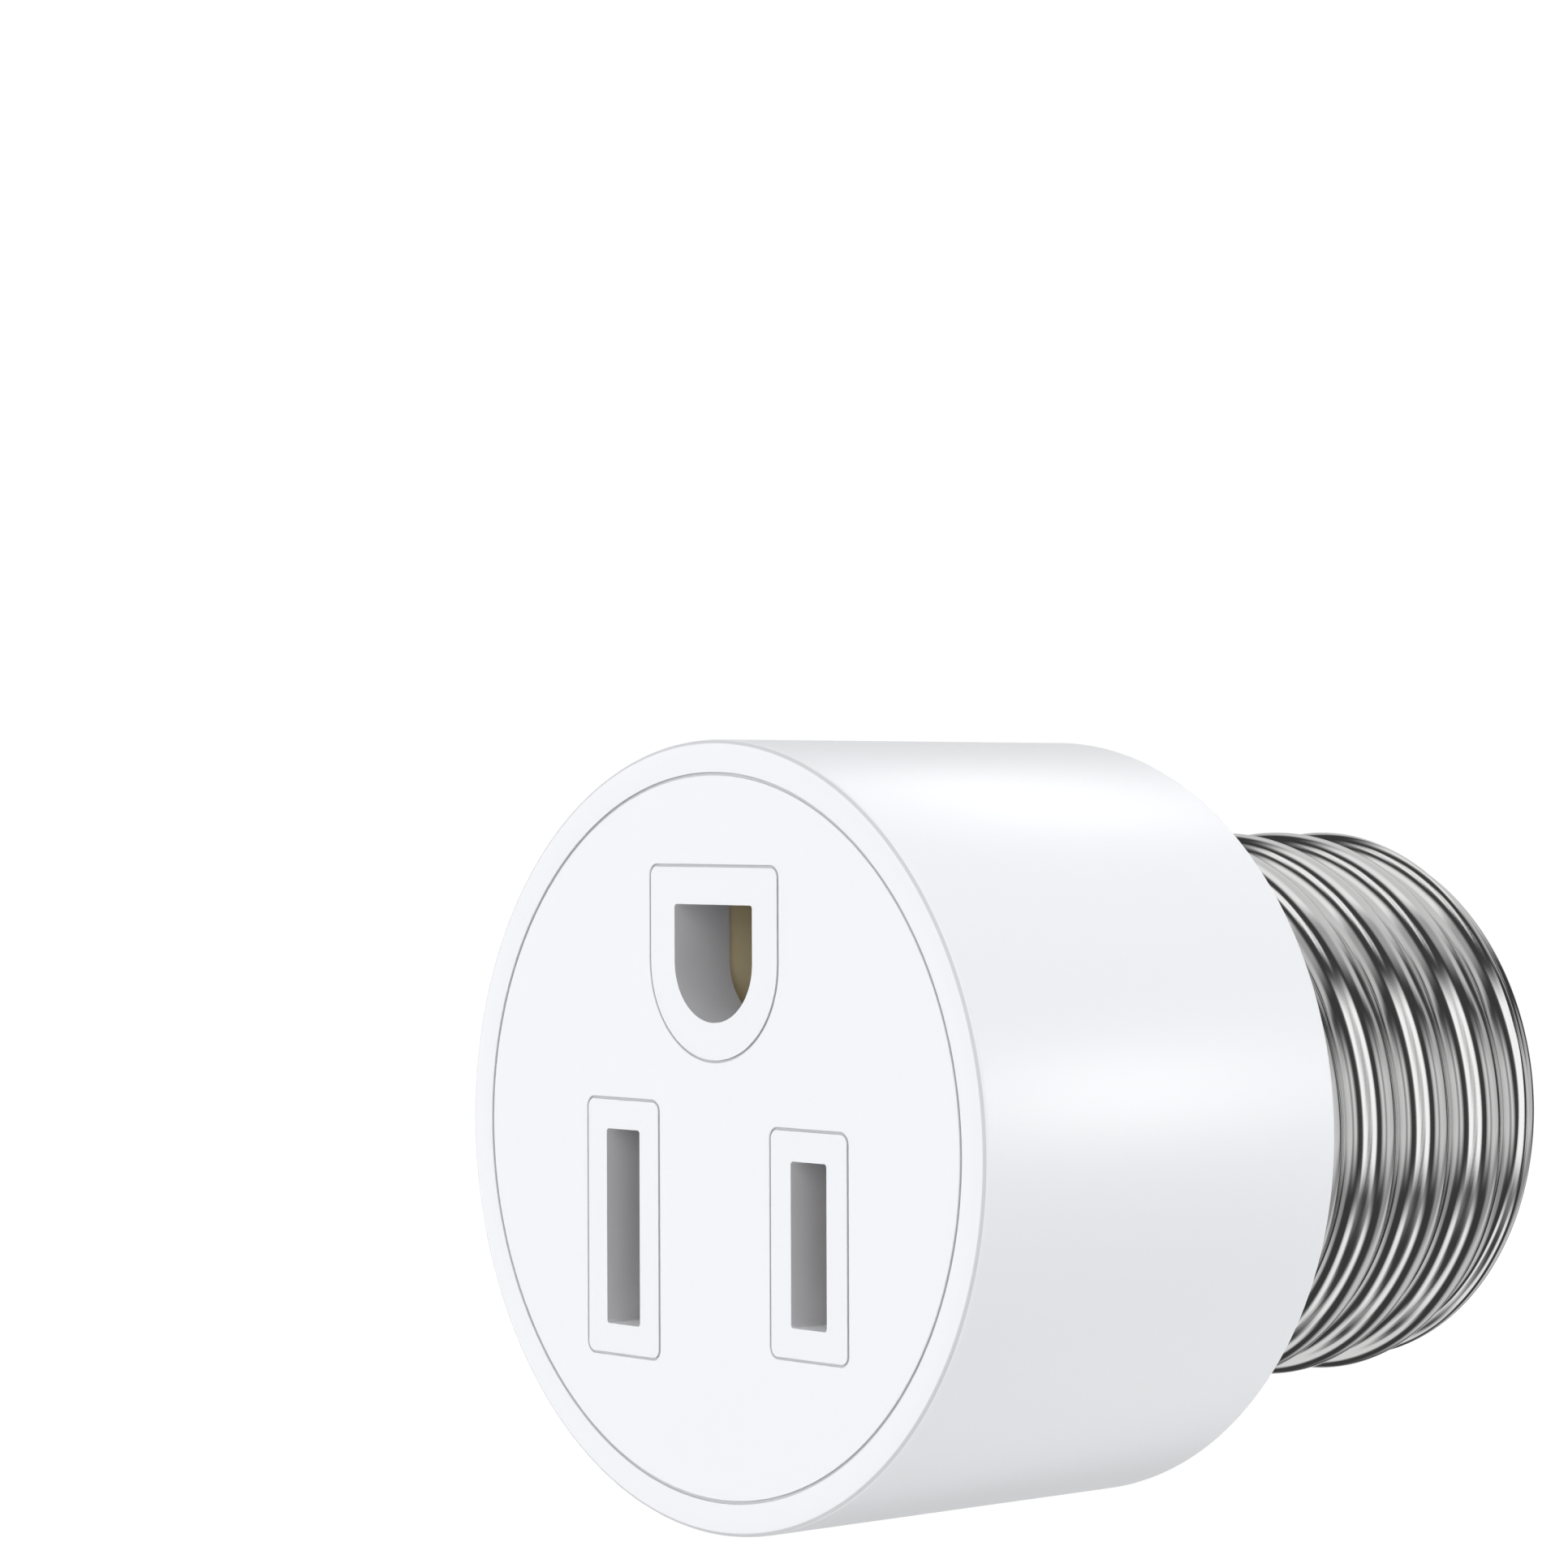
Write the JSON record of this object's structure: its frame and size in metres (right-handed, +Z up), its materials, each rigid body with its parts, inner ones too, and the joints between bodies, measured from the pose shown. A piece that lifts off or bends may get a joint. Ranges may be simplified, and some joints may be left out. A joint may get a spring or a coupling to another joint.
{
  "type": "lamp socket adapter",
  "caption": "Round white adapter with a screw lamp base at one end and a grounded plug outlet in the flat face at the other, so that a lamp holder can feed a plug.",
  "frame": {"origin": "on the axis, at the housing's rear seat, where the screw shell begins", "axes": "+Y along the axis to the screw's tip, +X to the right when facing the outlet, +Z up, on the earth hole's side"},
  "size_m": [0.035, 0.0452, 0.035],
  "materials": {
    "housing_white": "satin moulded white plastic",
    "face_white": "satin moulded white plastic",
    "block_white": "satin moulded white plastic",
    "retainer_grey": "plain grey insulating board",
    "screw_steel": "zinc-plated steel",
    "contact_brass": "rolled brass strip",
    "nickel_plate": "bright nickel plate over formed brass",
    "insulator_black": "glossy black insulator",
    "copper": "bare copper",
    "sleeve_black": "black wire insulation",
    "sleeve_white": "white wire insulation",
    "solder": "grey solder"
  },
  "bodies": {
    "root": {"housing": "housing_white", "face_plate": "face_white", "contact_block": "block_white", "contact_retainer": "retainer_grey", "retainer_screws": "screw_steel", "line_contact": "contact_brass", "neutral_contact": "contact_brass", "ground_contact": "contact_brass", "screw_shell": "nickel_plate", "base_insulator": "insulator_black", "centre_contact": "nickel_plate", "centre_tag": "contact_brass", "line_wire": "copper", "line_sleeve": "sleeve_black", "neutral_wire": "copper", "neutral_sleeve": "sleeve_white", "solder_joints": "solder"}
  },
  "joints": []
}
